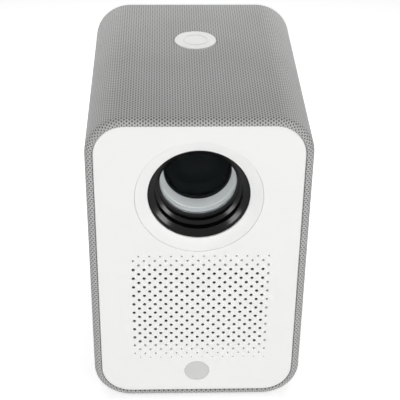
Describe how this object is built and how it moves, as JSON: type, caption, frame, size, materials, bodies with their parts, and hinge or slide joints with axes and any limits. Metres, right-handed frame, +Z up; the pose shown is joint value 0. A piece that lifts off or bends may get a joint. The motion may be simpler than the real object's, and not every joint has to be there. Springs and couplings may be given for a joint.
{
  "type": "projector with disc drive",
  "caption": "Upright desktop projector with a round-cornered fabric case, a large front lens over a dotted grille, a top button and a side disc tray.",
  "frame": {"origin": "bottom centre of the part, on the plane that the feet stand on", "axes": "+Z up; the lens and grille face -Y; the disc tray opens towards +X"},
  "size_m": [0.14, 0.1764, 0.2207],
  "materials": {
    "fabric": "knitted",
    "white": "satin",
    "white_button": "satin",
    "grey_window": "smooth",
    "hood_black": "polished",
    "dark": "moulded",
    "housing": "moulded",
    "glass": "polished",
    "bright": "turned",
    "steel": "plain",
    "brass": "turned",
    "rubber": "matt",
    "paper": "matt",
    "board": "satin",
    "sheet": "plain",
    "iron": "plain"
  },
  "bodies": {
    "case": {"fabric_sleeve": "fabric", "housing_shell": "housing", "front_panel": "white", "grille_mesh": "dark", "ir_window": "grey_window", "ir_receiver_board": "board", "back_panel": "white", "back_screws": "steel", "base_plate": "dark", "rubber_feet": "rubber", "tripod_insert": "brass", "engine_shelf": "housing", "speaker_frame": "dark", "speaker_cone": "paper", "speaker_magnet": "iron", "lens_surround": "white", "lens_hood": "hood_black", "lens_mount": "dark", "focus_retainer": "dark", "focus_motor": "steel", "motor_bracket": "steel", "engine_housing": "dark", "lcd_panel": "glass", "condenser_lens": "glass", "led_board": "board", "heatsink": "sheet", "fan_frame": "dark", "button_guide": "housing", "button_switch": "board", "main_board": "board", "hdmi_port": "steel", "usb_port": "steel", "audio_jack": "dark", "dc_inlet": "dark", "power_supply": "board", "drive_surround": "white", "drive_case": "sheet", "drive_cover": "sheet"},
    "power_button": {"power_button": "white_button"},
    "tray": {"disc_tray": "dark", "tray_bezel": "white", "pickup_chassis": "steel", "guide_rods": "steel", "spindle_motor": "steel", "sled_motor": "steel"},
    "rails": {"drive_rails": "steel"},
    "eject_button": {"eject_button": "white_button"},
    "spindle": {"spindle_hub": "dark"},
    "sled": {"pickup_sled": "dark", "objective_lens": "glass"},
    "lead_screw": {"lead_screw": "steel"},
    "focus_ring": {"focus_ring": "dark"},
    "barrel": {"lens_barrel": "dark", "front_lens": "glass", "spacer_ring": "bright", "middle_lens": "glass", "rear_lens": "glass", "rear_retaining_ring": "dark"},
    "pinion": {"focus_pinion": "brass"},
    "fan": {"fan_rotor": "dark"}
  },
  "joints": [
    {"name": "power_button_press", "type": "slide", "parent": "case", "child": "power_button", "axis": [0, 0, -1], "range_m": [0, 0.0012], "stiffness_N_per_m": 800, "springref_m": -0.0005},
    {"name": "tray_slide", "type": "slide", "parent": "case", "child": "tray", "axis": [1, 0, 0], "range_m": [0, 0.13]},
    {"name": "rail_slide", "type": "slide", "parent": "case", "child": "rails", "axis": [1, 0, 0], "range_m": [0, 0.065]},
    {"name": "eject_button_press", "type": "slide", "parent": "tray", "child": "eject_button", "axis": [-1, 0, 0], "range_m": [0, 0.0008], "stiffness_N_per_m": 600, "springref_m": -0.0004},
    {"name": "spindle_spin", "type": "hinge", "parent": "tray", "child": "spindle", "pos_m": [0.003, 0, 0.0375], "axis": [0, 0, 1], "continuous": true},
    {"name": "sled_slide", "type": "slide", "parent": "tray", "child": "sled", "axis": [-0.7071, 0.7071, 0], "range_m": [0, 0.0345]},
    {"name": "lead_screw_spin", "type": "hinge", "parent": "tray", "child": "lead_screw", "pos_m": [-0.01892, 0.03465, 0.0341], "axis": [-0.7071, 0.7071, 0], "range_deg": [0, 4141]},
    {"name": "focus_ring_turn", "type": "hinge", "parent": "case", "child": "focus_ring", "pos_m": [0, -0.04725, 0.164], "axis": [0, 1, 0], "range_deg": [-60, 60]},
    {"name": "barrel_slide", "type": "slide", "parent": "case", "child": "barrel", "axis": [0, -1, 0], "range_m": [-0.0015, 0.0015]},
    {"name": "pinion_spin", "type": "hinge", "parent": "case", "child": "pinion", "pos_m": [-0.04, -0.04725, 0.164], "axis": [0, 1, 0], "range_deg": [-341, 341]},
    {"name": "fan_spin", "type": "hinge", "parent": "case", "child": "fan", "pos_m": [0, 0.07775, 0.164], "axis": [0, 1, 0], "continuous": true}
  ],
  "couplings": [
    {"joint": "rail_slide", "follows": "tray_slide", "ratio": 0.5},
    {"joint": "lead_screw_spin", "follows": "sled_slide", "rad_per_m": 2094.4},
    {"joint": "barrel_slide", "follows": "focus_ring_turn", "m_per_rad": 0.001432},
    {"joint": "pinion_spin", "follows": "focus_ring_turn", "ratio": -5.6667}
  ]
}
